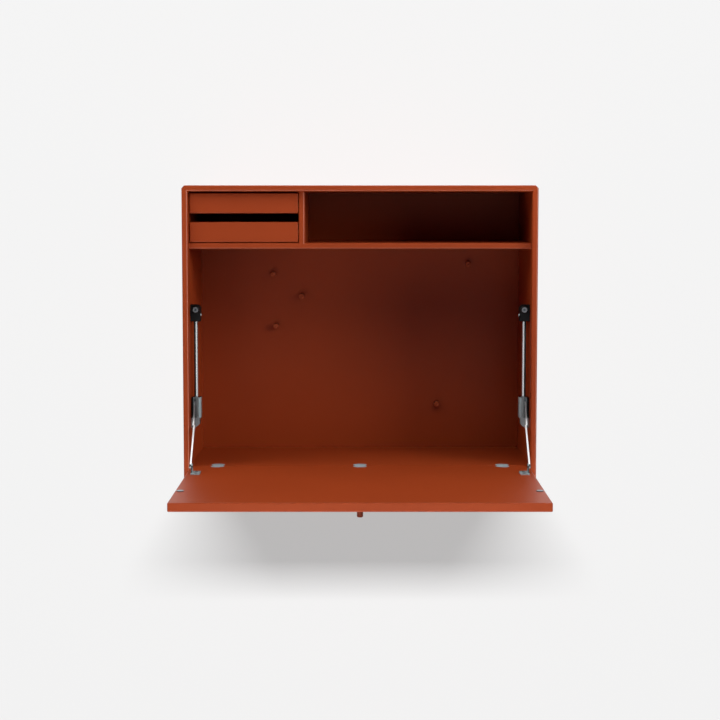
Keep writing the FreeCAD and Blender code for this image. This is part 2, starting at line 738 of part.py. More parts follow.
# ---- drawers -------------------------------------------------------------------------------------
def drawer_bottoms():
    """Height of the lower edge of each drawer's front."""
    lower = SHELF_TOP_Z + DRAWER_FOOT_GAP
    upper = CEILING_Z - DRAWER_TOP_GAP - DRAWER_FRONT_H
    return {"upper": upper, "lower": lower}


def box_sides():
    """The outer faces of a drawer's two side boards."""
    return -INNER_X + BOX_SIDE_GAP, DIVIDER_LEFT_X - BOX_SIDE_GAP


def box_depth():
    """Where the drawer box starts, behind its front, and where it ends."""
    start = FRONT_Y + DRAWER_SETBACK + DRAWER_FRONT_T
    return start, BACK_FACE_Y - DRAWER_BACK_ROOM


def drawer_front(bottom_z):
    x0 = -INNER_X + DRAWER_SIDE_GAP
    x1 = DIVIDER_LEFT_X - DRAWER_SIDE_GAP
    y0 = FRONT_Y + DRAWER_SETBACK
    board = block(x0, x1, y0, y0 + DRAWER_FRONT_T, bottom_z, bottom_z + DRAWER_FRONT_H)
    board = fillet(board, DRAWER_FRONT_ROUND, lambda c, e: near(c.y, y0))
    return board.cut(bottom_board(bottom_z))


def side_board(side, bottom_z):
    """A side of the box, grooved outside for its runner and inside for the bottom."""
    left_x, right_x = box_sides()
    y0, y1 = box_depth()
    outer_x = left_x if side == LEFT else right_x
    inner_x = outer_x - side * BOX_SIDE_T
    z0 = bottom_z + BOX_RAISE
    board = block(outer_x, inner_x, y0, y1, z0, z0 + BOX_H)
    groove_x = outer_x - side * (RUNNER_T - BOX_SIDE_GAP + RUNNER_FIT)
    runner_z = bottom_z + RUNNER_RAISE
    groove = block(outer_x, groove_x, y0 + RUNNER_FRONT_ROOM - RUNNER_FIT, y1,
                   runner_z - RUNNER_FIT, runner_z + RUNNER_H + RUNNER_FIT)
    return board.cut(groove).cut(bottom_board(bottom_z))


def box_back(bottom_z):
    left_x, right_x = box_sides()
    y0, y1 = box_depth()
    z0 = bottom_z + BOX_RAISE
    board = block(left_x + BOX_SIDE_T, right_x - BOX_SIDE_T, y1 - BOX_BACK_T, y1, z0, z0 + BOX_H)
    return board.cut(bottom_board(bottom_z))


def bottom_board(bottom_z):
    """The thin bottom, let into grooves in the front, the sides and the back."""
    left_x, right_x = box_sides()
    y0, y1 = box_depth()
    reach = BOX_SIDE_T - BOX_BOTTOM_GROOVE
    z0 = bottom_z + BOX_RAISE + BOX_BOTTOM_RAISE
    back_y = y1 - BOX_BACK_T + BOX_BOTTOM_GROOVE
    return block(left_x + reach, right_x - reach, y0 - BOX_BOTTOM_GROOVE, back_y, z0, z0 + BOX_BOTTOM_T)


def runner(side, bottom_z):
    """A hardwood strip, let into the bay's wall, that fits the groove in the drawer's side."""
    y0, y1 = box_depth()
    wall_x = -INNER_X if side == LEFT else DIVIDER_LEFT_X
    z0 = bottom_z + RUNNER_RAISE
    front_y = y0 + RUNNER_FRONT_ROOM
    strip = block(wall_x + side * RUNNER_LET_IN, wall_x - side * RUNNER_T, front_y, y1 + RUNNER_BACK_ROOM,
                  z0, z0 + RUNNER_H)
    return bevel(strip, RUNNER_BEVEL, lambda c, e: near(c.y, front_y) and runs_along(e, X_AXIS))


# ---- assembly ------------------------------------------------------------------------------------
def side_fixings(side):
    """What is let into a side panel, apart from the back."""
    return [shelf()] + [placed(stud, side) for stud in stay_studs()]


def cabinet_nodes():
    groove = back_groove()
    left_runners = [runner(LEFT, bottom_z) for bottom_z in drawer_bottoms().values()]
    right_runners = [runner(RIGHT, bottom_z) for bottom_z in drawer_bottoms().values()]
    pegs = [peg(place) for place in peg_places()]
    cups = [hinge_cup(x, 1, WORKTOP_FRONT_Y) for x in hinge_places().values()]
    return {
        "side_panel_left": side_panel(LEFT).cut(together([groove] + side_fixings(LEFT) + left_runners)),
        "side_panel_right": side_panel(RIGHT).cut(together([groove] + side_fixings(RIGHT))),
        "top_panel": level_panel(TOP_Z, CEILING_Z).cut(groove).cut(divider()),
        "bottom_panel": level_panel(BOTTOM_Z, FLOOR_Z).cut(groove),
        "fixed_worktop": fixed_worktop().cut(together(cups)),
        "back_panel": back_panel().cut(together(pegs)),
        "shelf": shelf().cut(divider()),
        "divider": divider().cut(together(right_runners)),
        "back_pegs": together(pegs),
        "wall_rail": wall_rail(),
        "hook_rail": hook_rail(),
        "hinge_pins": together([hinge_pin(x) for x in hinge_places().values()]),
    }


def hinge_nodes():
    nodes = {}
    for word, x in hinge_places().items():
        nodes["worktop_hinge_cup_" + word] = worktop_hinge_cup(x)
        nodes["flap_hinge_cup_" + word] = flap_hinge_cup(x)
    return nodes


def flap_nodes():
    cups = [hinge_cup(x, -1, FLAP_HEEL_Y) for x in hinge_places().values()]
    stems = [placed(strike_stem(), side) for side in (LEFT, RIGHT)]
    return {
        "flap_panel": flap_panel().cut(together(cups + stems + [knob_stud()])),
        "flap_bracket_pins": together([placed(flap_bracket_pin(), side) for side in (LEFT, RIGHT)]),
        "knob": knob().cut(knob_stud()),
        "knob_stud": knob_stud(),
    }


def stay_nodes(side, word):
    return {
        "stay_rod_" + word: placed(stay_rod(), side),
        "stay_foot_" + word: placed(lower_bracket(), side),
        "stay_housing_" + word: placed(housing(), side),
        "stay_magnet_" + word: placed(magnet(), side),
        "stay_slider_" + word: placed(slider(), side),
        "slider_pad_" + word: placed(slider_pad(), side),
        "slider_rivet_" + word: placed(slider_rivet(), side),
        "stay_arm_" + word: placed(stay_arm(), side),
        "flap_bracket_" + word: placed(flap_bracket(), side),
        "strike_plate_" + word: placed(strike_plate(), side),
    }


def drawer_nodes(level, bottom_z):
    name = level + "_drawer_"
    return {
        name + "front": drawer_front(bottom_z),
        name + "side_left": side_board(LEFT, bottom_z),
        name + "side_right": side_board(RIGHT, bottom_z),
        name + "back": box_back(bottom_z),
        name + "bottom": bottom_board(bottom_z),
        level + "_runner_left": runner(LEFT, bottom_z),
        level + "_runner_right": runner(RIGHT, bottom_z),
    }


def all_nodes():
    nodes = cabinet_nodes()
    nodes.update(hinge_nodes())
    nodes.update(flap_nodes())
    nodes.update(stay_nodes(LEFT, "left"))
    nodes.update(stay_nodes(RIGHT, "right"))
    for level, bottom_z in drawer_bottoms().items():
        nodes.update(drawer_nodes(level, bottom_z))
    return nodes


os.makedirs("parts", exist_ok=True)
for node, shape in all_nodes().items():
    shape.exportStep("parts/" + node + ".step")
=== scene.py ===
import math

import bmesh
import bpy
from mathutils import Matrix, Vector


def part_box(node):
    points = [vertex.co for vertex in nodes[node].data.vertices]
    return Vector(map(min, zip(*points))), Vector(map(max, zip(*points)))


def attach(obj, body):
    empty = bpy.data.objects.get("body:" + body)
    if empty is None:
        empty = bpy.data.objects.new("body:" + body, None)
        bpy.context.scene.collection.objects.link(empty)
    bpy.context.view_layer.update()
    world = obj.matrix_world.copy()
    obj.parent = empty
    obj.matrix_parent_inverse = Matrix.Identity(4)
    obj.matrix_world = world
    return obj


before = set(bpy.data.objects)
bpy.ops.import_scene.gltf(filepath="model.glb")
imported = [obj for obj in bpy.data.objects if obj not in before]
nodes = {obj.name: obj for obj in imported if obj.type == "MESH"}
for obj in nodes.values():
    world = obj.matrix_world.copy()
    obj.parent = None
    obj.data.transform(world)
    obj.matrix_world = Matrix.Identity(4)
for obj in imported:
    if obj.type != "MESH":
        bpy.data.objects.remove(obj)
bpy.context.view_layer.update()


# ---- lacquered boards ----------------------------------------------------------------------------
# The cabinet, its shelf and divider, the flap and the drawers are fibreboard with a sprayed matt
# lacquer in russet brown. It dries to a very fine orange peel. Every arris is eased. The paler tone
# on the right-hand arrises of the uprights and the lower arrises of the top and shelf is a painted
# highlight.
RUSSET = ((0.292, 0.0410, 0.0078), (0.318, 0.0458, 0.0091))
# Painted highlight: paler lacquer tones for the arrises that turn toward the lamps.
PAINTED_HIGHLIGHT_UPRIGHT = ((0.44, 0.165, 0.110), (0.41, 0.140, 0.092))
PAINTED_HIGHLIGHT_LEVEL = ((0.39, 0.110, 0.060), (0.36, 0.098, 0.050))
LACQUER_ROUGHNESS = (0.37, 0.47)
LACQUER_GLOSS = 0.18
CLOUD_SCALE = 4.0
PEEL_SCALE = 420.0
PEEL_DEPTH = 0.00006
GRAIN_SCALE = 2600.0
GRAIN_DEPTH = 0.00002
NOISE_REACH = (0.3, 0.7)
ARRIS_TURN = (0.1, 0.5)
ARRIS_FORWARD = -0.7


def new_material(name):
    """An empty node material: its tree, its Principled shader and Object coordinates."""
    material = bpy.data.materials.new(name)
    material.use_nodes = True
    tree = material.node_tree
    tree.nodes.clear()
    shader = tree.nodes.new("ShaderNodeBsdfPrincipled")
    output = tree.nodes.new("ShaderNodeOutputMaterial")
    place = tree.nodes.new("ShaderNodeTexCoord")
    tree.links.new(shader.outputs["BSDF"], output.inputs["Surface"])
    return material, tree, shader, place.outputs["Object"]


def noise(tree, where, scale, detail=2.0):
    node = tree.nodes.new("ShaderNodeTexNoise")
    node.inputs["Scale"].default_value = scale
    node.inputs["Detail"].default_value = detail
    tree.links.new(where, node.inputs["Vector"])
    return node.outputs["Fac"]


def spread(tree, value, low, high, source=NOISE_REACH):
    """Stretch a value, which itself runs over the source range, from low to high."""
    node = tree.nodes.new("ShaderNodeMapRange")
    node.inputs["From Min"].default_value, node.inputs["From Max"].default_value = source
    node.inputs["To Min"].default_value = low
    node.inputs["To Max"].default_value = high
    tree.links.new(value, node.inputs["Value"])
    return node.outputs["Result"]


def blend_colours(tree, factor, first, second):
    """From the first to the second, each a colour or another blend."""
    node = tree.nodes.new("ShaderNodeMix")
    node.data_type = "RGBA"
    factor_in, first_in, second_in = node.inputs[0], node.inputs[6], node.inputs[7]
    colour_out = node.outputs[2]
    tree.links.new(factor, factor_in)
    for socket, colour in ((first_in, first), (second_in, second)):
        if isinstance(colour, tuple):
            socket.default_value = (*colour, 1.0)
        else:
            tree.links.new(colour, socket)
    return colour_out


def raise_surface(tree, shader, height, distance):
    """A bump on a shader, over any bump that it has already."""
    node = tree.nodes.new("ShaderNodeBump")
    node.inputs["Distance"].default_value = distance
    normal = shader.inputs["Normal"]
    if normal.links:
        tree.links.new(normal.links[0].from_socket, node.inputs["Normal"])
    tree.links.new(height, node.inputs["Height"])
    tree.links.new(node.outputs["Normal"], normal)


def lacquer(name, tones):
    """Sprayed lacquer that clouds a little from one tone to the other."""
    material, tree, shader, where = new_material(name)
    cloud = noise(tree, where, CLOUD_SCALE, detail=3.0)
    peel = noise(tree, where, PEEL_SCALE)
    grain = noise(tree, where, GRAIN_SCALE, detail=1.0)
    colour = blend_colours(tree, spread(tree, cloud, 0.0, 1.0), *tones)
    tree.links.new(colour, shader.inputs["Base Color"])
    tree.links.new(spread(tree, grain, *LACQUER_ROUGHNESS), shader.inputs["Roughness"])
    shader.inputs["Specular IOR Level"].default_value = LACQUER_GLOSS
    raise_surface(tree, shader, peel, PEEL_DEPTH)
    raise_surface(tree, shader, grain, GRAIN_DEPTH)
    return material


def coat(material, *names):
    """Give CAD nodes a finish."""
    for name in names:
        mesh = nodes[name].data
        mesh.materials.clear()
        mesh.materials.append(material)


def coat_faces(material, name, picked):
    """Give the faces of a CAD node that picked(normal, centre) chooses a finish of their own."""
    mesh = nodes[name].data
    mesh.materials.append(material)
    for face in mesh.polygons:
        if picked(face.normal, face.center):
            face.material_index = len(mesh.materials) - 1


def on_arris(normal, turn):
    """Whether a face of a front edge lies on its arris, by how far it turns off the front."""
    return ARRIS_TURN[0] < turn < ARRIS_TURN[1] and normal.y < ARRIS_FORWARD


russet_lacquer = lacquer("russet_lacquer", RUSSET)
upright_arris_highlight = lacquer("painted_highlight_upright_arris", PAINTED_HIGHLIGHT_UPRIGHT)
level_arris_highlight = lacquer("painted_highlight_level_arris", PAINTED_HIGHLIGHT_LEVEL)
coat(russet_lacquer, "side_panel_left", "side_panel_right", "top_panel", "bottom_panel")
coat(russet_lacquer, "fixed_worktop", "back_panel", "shelf", "divider", "flap_panel")
for level in ("upper", "lower"):
    for board in ("front", "side_left", "side_right", "back", "bottom"):
        coat(russet_lacquer, level + "_drawer_" + board)
# Painted highlight on the right-hand arrises of the uprights and the lower arrises of top and
# shelf.
for name in ("side_panel_left", "side_panel_right", "divider"):
    coat_faces(upright_arris_highlight, name, lambda normal, centre: on_arris(normal, normal.x))
for name in ("top_panel", "shelf"):
    coat_faces(level_arris_highlight, name, lambda normal, centre: on_arris(normal, -normal.z))


# ---- pegs and knob -------------------------------------------------------------------------------
# Five turned beech pegs stand on the back panel, to hang and lead cables over. The flap's knob is a
# like turning on a steel stud. Both are lacquered darker than the boards, which is painted shade,
# and the pegs' ends paler, which is a painted highlight.
# Painted shade on the knob and the pegs, and a painted highlight on the pegs' ends.
PAINTED_SHADE_KNOB = ((0.150, 0.0230, 0.0060), (0.172, 0.0270, 0.0070))
PAINTED_SHADE_PEG = ((0.080, 0.0120, 0.0040), (0.095, 0.0145, 0.0048))
PAINTED_LIGHT_PEG_END = ((0.35, 0.066, 0.021), (0.38, 0.074, 0.024))
END_FORWARD = -0.5
coat(lacquer("painted_shade_knob_lacquer", PAINTED_SHADE_KNOB), "knob")
coat(lacquer("painted_shade_peg_lacquer", PAINTED_SHADE_PEG), "back_pegs")
coat_faces(lacquer("painted_light_peg_end_lacquer", PAINTED_LIGHT_PEG_END), "back_pegs",
           lambda normal, centre: normal.y < END_FORWARD)


# ---- drawer runners ------------------------------------------------------------------------------
# The drawers hang on planed and waxed beech strips, which are let into the walls of the bay. Their
# grain runs from front to back.
BEECH = ((0.52, 0.30, 0.145), (0.40, 0.21, 0.095))
BEECH_ROUGHNESS = (0.38, 0.52)
FIGURE_SCALE = 260.0
FIGURE_STRETCH = (1.0, 0.06, 1.0)
FIGURE_DEPTH = 0.00008


def beech():
    material, tree, shader, where = new_material("waxed_beech")
    stretch = tree.nodes.new("ShaderNodeMapping")
    stretch.inputs["Scale"].default_value = FIGURE_STRETCH
    tree.links.new(where, stretch.inputs["Vector"])
    figure = noise(tree, stretch.outputs["Vector"], FIGURE_SCALE, detail=4.0)
    colour = blend_colours(tree, spread(tree, figure, 0.0, 1.0), *BEECH)
    tree.links.new(colour, shader.inputs["Base Color"])
    tree.links.new(spread(tree, figure, *BEECH_ROUGHNESS), shader.inputs["Roughness"])
    raise_surface(tree, shader, figure, FIGURE_DEPTH)
    return material


coat(beech(), "upper_runner_left", "upper_runner_right", "lower_runner_left", "lower_runner_right")


# ---- hanging rails -------------------------------------------------------------------------------
# Two strips of folded sheet steel with a dull zinc plating. One is fixed to the wall, and the
# other, screwed to the back panel, hooks over it.
ZINC = ((0.50, 0.51, 0.52), (0.36, 0.37, 0.39))
SCREW_ZINC = ((0.62, 0.64, 0.65), (0.50, 0.52, 0.53))
PLATING_DEPTH = 0.00001
RAIL_SHEET = 0.0015
RAIL_SCREW_X = (-0.26, 0.0, 0.26)
RAIL_SCREW_Z = 0.0292
HEAD_SEGMENTS = 24
DOME_RIMS = ((1.0, 0.0), (1.0, 0.45), (0.90, 0.84), (0.72, 1.0))
CROSS_REACH = 0.52
CROSS_HALF = 0.13
RECESS_RIMS = ((1.0, 1.0), (0.7, 0.35))
CREASE = math.radians(35)


def metal(name, tones, roughness, scale, stretch=(1.0, 1.0, 1.0), metallic=1.0):
    """Plated or cast metal whose tone and roughness wander a little over the surface."""
    material, tree, shader, where = new_material(name)
    mapping = tree.nodes.new("ShaderNodeMapping")
    mapping.inputs["Scale"].default_value = stretch
    tree.links.new(where, mapping.inputs["Vector"])
    tone = noise(tree, mapping.outputs["Vector"], scale, detail=3.0)
    colour = blend_colours(tree, spread(tree, tone, 0.0, 1.0), *tones)
    tree.links.new(colour, shader.inputs["Base Color"])
    tree.links.new(spread(tree, tone, *roughness), shader.inputs["Roughness"])
    shader.inputs["Metallic"].default_value = metallic
    raise_surface(tree, shader, tone, PLATING_DEPTH)
    return material


def closed_loop(bm, verts):
    """The edges round a loop of vertices, in order. Those that are missing are made."""
    pairs = [(verts[i - 1], verts[i]) for i in range(len(verts))]
    return [bm.edges.get(pair) or bm.edges.new(pair) for pair in pairs]


def screw_head(bm, centre, outward, radius, height):
    """A domed head with a cross recess. Its underside lies on the sheet that it holds."""
    others = set(bm.verts)
    rims = []
    for reach, level in DOME_RIMS:
        ring = bmesh.ops.create_circle(bm, cap_ends=level == 0, segments=HEAD_SEGMENTS,
                                       radius=reach * radius,
                                       matrix=Matrix.Translation((0, 0, level * height)))
        rims.append(closed_loop(bm, ring["verts"]))
    arm, half = CROSS_REACH * radius, CROSS_HALF * radius
    cross = [(half, arm), (half, half), (arm, half)]
    for _ in range(3):
        cross += [(y, -x) for x, y in cross[-3:]]
    recess = []
    for shrink, level in RECESS_RIMS:
        corners = [bm.verts.new((shrink * x, shrink * y, level * height)) for x, y in cross]
        recess.append(closed_loop(bm, corners))
    for lower, upper in zip(rims, rims[1:]):
        bmesh.ops.bridge_loops(bm, edges=lower + upper)
    bmesh.ops.triangle_fill(bm, use_beauty=True, edges=rims[-1] + recess[0])
    bmesh.ops.bridge_loops(bm, edges=recess[0] + recess[1])
    bmesh.ops.edgeloop_fill(bm, edges=recess[1])
    turn = outward.to_track_quat("Z", "Y").to_matrix().to_4x4()
    bmesh.ops.transform(bm, matrix=Matrix.Translation(centre) @ turn,
                        verts=[vert for vert in bm.verts if vert not in others])


def screws(name, centres, outward, radius, height, body, finish):
    """A set of like screws as one piece on a body."""
    bm = bmesh.new()
    for centre in centres:
        screw_head(bm, Vector(centre), Vector(outward), radius, height)
    bmesh.ops.recalc_face_normals(bm, faces=bm.faces)
    mesh = bpy.data.meshes.new(name)
    bm.to_mesh(mesh)
    bm.free()
    mesh.materials.append(finish)
    mesh.shade_smooth()
    mesh.set_sharp_from_angle(angle=CREASE)
    piece = bpy.data.objects.new(name, mesh)
    bpy.context.scene.collection.objects.link(piece)
    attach(piece, body)


zinc_plate = metal("zinc_plate", ZINC, roughness=(0.34, 0.50), scale=90.0)
screw_zinc = metal("zinc_plated_screw", SCREW_ZINC, roughness=(0.26, 0.36), scale=1200.0)
coat(zinc_plate, "wall_rail", "hook_rail")
RAIL_FACE_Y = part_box("hook_rail")[0].y + RAIL_SHEET
screws("hook_rail_screws", [(x, RAIL_FACE_Y, RAIL_SCREW_Z) for x in RAIL_SCREW_X], (0, 1, 0),
       radius=0.0040, height=0.0022, body="cabinet", finish=screw_zinc)


# ---- flap hinges ---------------------------------------------------------------------------------
# Three flush cup hinges. Their cast cups have a satin nickel face, are pressed into the flap and
# the fixed worktop, and turn on pins of bright steel. The knob's stud is of the same steel.
NICKEL = ((0.52, 0.68, 0.74), (0.38, 0.50, 0.55))
BRIGHT_STEEL = ((0.46, 0.47, 0.48), (0.36, 0.37, 0.38))
nickel = metal("satin_nickel", NICKEL, roughness=(0.40, 0.50), scale=1400.0, metallic=0.35)
bright_steel = metal("bright_steel", BRIGHT_STEEL, roughness=(0.30, 0.40), scale=700.0)
for place in ("left", "middle", "right"):
    coat(nickel, "worktop_hinge_cup_" + place, "flap_hinge_cup_" + place)
coat(bright_steel, "hinge_pins", "knob_stud")


# ---- flap stays ----------------------------------------------------------------------------------
# On each side a chromed rod runs from a cast foot up into a moulded black head with a ring magnet.
# A cast runner slides on the rod, and a bent steel arm joins it to a folded bracket on the flap.
# Small domed screws hold the head, the magnet and the bracket.
CHROME = ((0.62, 0.66, 0.68), (0.56, 0.60, 0.62))
# Painted shade: a dark colour for the outer half of each chromed rod.
PAINTED_SHADE_ROD = ((0.085, 0.110, 0.115), (0.060, 0.080, 0.085))
FOOT_CASTING = ((0.26, 0.28, 0.29), (0.17, 0.19, 0.20))
RUNNER_CASTING = ((0.15, 0.16, 0.165), (0.10, 0.11, 0.115))
# Painted light: a paler colour for the runner's faces that turn inward.
PAINTED_LIGHT_CHEEK = ((0.40, 0.56, 0.60), (0.34, 0.48, 0.52))
MAGNET_PLATING = ((0.17, 0.17, 0.18), (0.10, 0.10, 0.11))
BRIGHT_SCREW = ((0.80, 0.98, 1.00), (0.72, 0.90, 0.92))
BLACKENED = ((0.060, 0.075, 0.080), (0.030, 0.040, 0.045))
BRACKET_PLATING = ((0.46, 0.57, 0.60), (0.26, 0.33, 0.35))
# Painted shade for the arm's bend and lower eye, the bracket's ear and the strike plate's rim.
PAINTED_SHADE_EDGE = ((0.070, 0.080, 0.085), (0.040, 0.048, 0.052))
STRIKE_PLATING = ((0.34, 0.42, 0.45), (0.26, 0.33, 0.36))
ALONG_ROD = (1.0, 1.0, 0.1)
MOULDING = ((0.0020, 0.0020, 0.0024), (0.0036, 0.0036, 0.0040))
MOULDING_ROUGHNESS = (0.36, 0.50)
MOULDING_GLOSS = 0.15
MOULDING_GRAIN = 1500.0
MOULDING_CLOUD = 120.0
MOULDING_DEPTH = 0.00004
ARM_PLATING = ((0.90, 0.94, 0.95), (0.78, 0.82, 0.83))
# Painted shade: the grey that the arm takes over its upper end, inside the runner's slot.
ARM_PAINTED_SHADE = (0.26, 0.27, 0.28)
ARM_ROUGHNESS = (0.38, 0.46)
ARM_GRAIN = 700.0
ARM_SHADE_Z = (-0.405, -0.394)
CHEEK_INWARD = 0.5
SHADE_INWARD = 0.08
EAR_SIDEWAYS = 0.5
EAR_Z = (-0.4905, -0.479)
BEND_X = 0.3284
BEND_Z = -0.404
LOWER_EYE_Z = (-0.4805, -0.4745)
RIM_UPWARD = 0.6
HEAD_SCREW = (0.3160, -0.2570, -0.1950)
PLATE_SCREWS = ((0.3152, -0.3745, -0.4910), (0.3152, -0.3945, -0.4910))
MAGNET_SCREW = (0.3242, -0.2791, -0.1842)


def moulded():
    material, tree, shader, where = new_material("black_moulding")
    grain = noise(tree, where, MOULDING_GRAIN)
    cloud = noise(tree, where, MOULDING_CLOUD)
    colour = blend_colours(tree, spread(tree, cloud, 0.0, 1.0), *MOULDING)
    tree.links.new(colour, shader.inputs["Base Color"])
    tree.links.new(spread(tree, grain, *MOULDING_ROUGHNESS), shader.inputs["Roughness"])
    shader.inputs["Specular IOR Level"].default_value = MOULDING_GLOSS
    raise_surface(tree, shader, grain, MOULDING_DEPTH)
    return material


def shaded_arm():
    """Bright plating, with painted shade over the upper end that works in the runner's slot."""
    material, tree, shader, where = new_material("zinc_plated_arm")
    tone = noise(tree, where, ARM_GRAIN, detail=3.0)
    split = tree.nodes.new("ShaderNodeSeparateXYZ")
    tree.links.new(where, split.inputs["Vector"])
    # Painted shade, rising over the height where the arm enters the slot.
    slot_shade = spread(tree, split.outputs["Z"], 0.0, 1.0, ARM_SHADE_Z)
    bright = blend_colours(tree, spread(tree, tone, 0.0, 1.0), *ARM_PLATING)
    colour = blend_colours(tree, slot_shade, bright, ARM_PAINTED_SHADE)
    tree.links.new(colour, shader.inputs["Base Color"])
    tree.links.new(spread(tree, tone, *ARM_ROUGHNESS), shader.inputs["Roughness"])
    shader.inputs["Metallic"].default_value = 1.0
    raise_surface(tree, shader, tone, PLATING_DEPTH)
    return material


def on_ear(normal, centre):
    """The faces round the bracket's ear that get painted shade."""
    return abs(normal.x) < EAR_SIDEWAYS and EAR_Z[0] < centre.z < EAR_Z[1]


def dark_on_arm(normal, centre):
    """The outside of the arm's bend, and the top of its lower eye, which get painted shade."""
    at_bend = abs(centre.x) > BEND_X and centre.z < BEND_Z
    return at_bend or LOWER_EYE_Z[0] < centre.z < LOWER_EYE_Z[1]


def on_side(sign, *places):
    """Places measured on the right stay, for the stay on either side."""
    return [(sign * x, y, z) for x, y, z in places]


chrome = metal("chromed_rod", CHROME, roughness=(0.16, 0.22), scale=300.0,
               stretch=ALONG_ROD, metallic=0.85)
painted_shade_rod_side = metal("painted_shade_rod_side", PAINTED_SHADE_ROD, roughness=(0.30, 0.40), scale=300.0,
                 stretch=ALONG_ROD, metallic=0.3)
foot_casting = metal("satin_foot", FOOT_CASTING, roughness=(0.30, 0.42), scale=900.0)
runner_casting = metal("satin_casting", RUNNER_CASTING, roughness=(0.30, 0.42), scale=900.0)
painted_light_cheek = metal("painted_light_cheek", PAINTED_LIGHT_CHEEK, roughness=(0.30, 0.40),
                         scale=900.0, metallic=0.5)
magnet_plating = metal("magnet_plating", MAGNET_PLATING, roughness=(0.22, 0.32), scale=800.0)
bright_screw = metal("bright_screw", BRIGHT_SCREW, roughness=(0.30, 0.40), scale=900.0,
                     metallic=0.3)
blackened_steel = metal("blackened_pin", BLACKENED, roughness=(0.28, 0.36), scale=700.0)
bracket_plating = metal("plated_bracket", BRACKET_PLATING, roughness=(0.40, 0.50), scale=900.0,
                        metallic=0.4)
painted_shade_edge = metal("painted_shade_edge", PAINTED_SHADE_EDGE, roughness=(0.30, 0.40), scale=900.0)
strike_plating = metal("plated_strike", STRIKE_PLATING, roughness=(0.40, 0.50), scale=900.0,
                       metallic=0.6)
black_moulding = moulded()
arm_steel = shaded_arm()
coat(blackened_steel, "flap_bracket_pins")
for side, sign in (("left", -1), ("right", 1)):
    inward = Vector((-sign, 0, 0))
    coat(chrome, "stay_rod_" + side)
    # Painted shade on the rod's outer half.
    coat_faces(painted_shade_rod_side, "stay_rod_" + side,
               lambda normal, centre: normal.dot(inward) < SHADE_INWARD)
    coat(foot_casting, "stay_foot_" + side)
    coat(runner_casting, "stay_slider_" + side)
    # Painted light on the runner's inward cheek.
    coat_faces(painted_light_cheek, "stay_slider_" + side,
               lambda normal, centre: normal.dot(inward) > CHEEK_INWARD)
    coat(black_moulding, "stay_housing_" + side, "slider_pad_" + side)
    coat(magnet_plating, "stay_magnet_" + side)
    coat(arm_steel, "stay_arm_" + side, "slider_rivet_" + side)
    # Painted shade on the arm, the bracket's ear and the strike plate's rim.
    coat_faces(painted_shade_edge, "stay_arm_" + side, dark_on_arm)
    coat(bracket_plating, "flap_bracket_" + side)
    coat_faces(painted_shade_edge, "flap_bracket_" + side, on_ear)
    coat(strike_plating, "strike_plate_" + side)
    coat_faces(painted_shade_edge, "strike_plate_" + side, lambda normal, centre: normal.z < RIM_UPWARD)
    screws("housing_screw_" + side, on_side(sign, HEAD_SCREW), inward,
           radius=0.0024, height=0.0013, body="cabinet", finish=bright_screw)
    screws("bracket_screws_" + side, on_side(sign, *PLATE_SCREWS), (0, 0, 1),
           radius=0.0034, height=0.0005, body="flap", finish=blackened_steel)
    screws("magnet_screw_" + side, on_side(sign, MAGNET_SCREW), (0, -1, 0),
           radius=0.0023, height=0.00015, body="cabinet", finish=blackened_steel)


# ---- wall and floor ------------------------------------------------------------------------------
# A plain pale wall that the desk hangs on, and the floor under it. Both show from the room only,
# send no light back on the desk, and keep the flap's soft shadow. Metal shows the same pale tone.
FLOOR_Z = -1.243
WALL_Y = 0.0005
STAGE_HALF = 15.0
BACKGROUND = 0.920
WALL_SHADE = 0.44
FLOOR_SHADE = 0.17
STAGE_PAINT = (0.20, 0.20, 0.20, 1.0)


def glow(tree, strength, *rays):
    """A strength that only some kinds of ray find."""
    path = tree.nodes.new("ShaderNodeLightPath")
    scaled = tree.nodes.new("ShaderNodeMath")
    scaled.operation = "MULTIPLY"
    scaled.inputs[1].default_value = strength
    found = path.outputs[rays[0]]
    for ray in rays[1:]:
        either = tree.nodes.new("ShaderNodeMath")
        either.operation = "MAXIMUM"
        tree.links.new(found, either.inputs[0])
        tree.links.new(path.outputs[ray], either.inputs[1])
        found = either.outputs["Value"]
    tree.links.new(found, scaled.inputs[0])
    return scaled.outputs["Value"]


def stage_finish(name, shade):
    """Pale paint: its lamp's part is what a shadow takes away, and the rest glows evenly."""
    material = bpy.data.materials.new(name)
    material.use_nodes = True
    tree = material.node_tree
    tree.nodes.clear()
    output = tree.nodes.new("ShaderNodeOutputMaterial")
    paint = tree.nodes.new("ShaderNodeBsdfDiffuse")
    paint.inputs["Color"].default_value = STAGE_PAINT
    even = tree.nodes.new("ShaderNodeEmission")
    strength = glow(tree, BACKGROUND - shade,
                    "Is Camera Ray", "Is Glossy Ray", "Is Transmission Ray")
    tree.links.new(strength, even.inputs["Strength"])
    both = tree.nodes.new("ShaderNodeAddShader")
    tree.links.new(paint.outputs["BSDF"], both.inputs[0])
    tree.links.new(even.outputs["Emission"], both.inputs[1])
    geometry = tree.nodes.new("ShaderNodeNewGeometry")
    clear = tree.nodes.new("ShaderNodeBsdfTransparent")
    choose = tree.nodes.new("ShaderNodeMixShader")
    tree.links.new(geometry.outputs["Backfacing"], choose.inputs[0])
    tree.links.new(both.outputs["Shader"], choose.inputs[1])
    tree.links.new(clear.outputs["BSDF"], choose.inputs[2])
    tree.links.new(choose.outputs["Shader"], output.inputs["Surface"])
    return material


def stage_plane(name, turn, place, material):
    mesh = bpy.data.meshes.new(name)
    bm = bmesh.new()
    bmesh.ops.create_grid(bm, x_segments=1, y_segments=1, size=STAGE_HALF)
    bmesh.ops.transform(bm, matrix=Matrix.Translation(place) @ turn, verts=bm.verts)
    bm.to_mesh(mesh)
    bm.free()
    mesh.materials.append(material)
    plane = bpy.data.objects.new(name, mesh)
    bpy.context.scene.collection.objects.link(plane)
    plane.visible_diffuse = False
    return plane


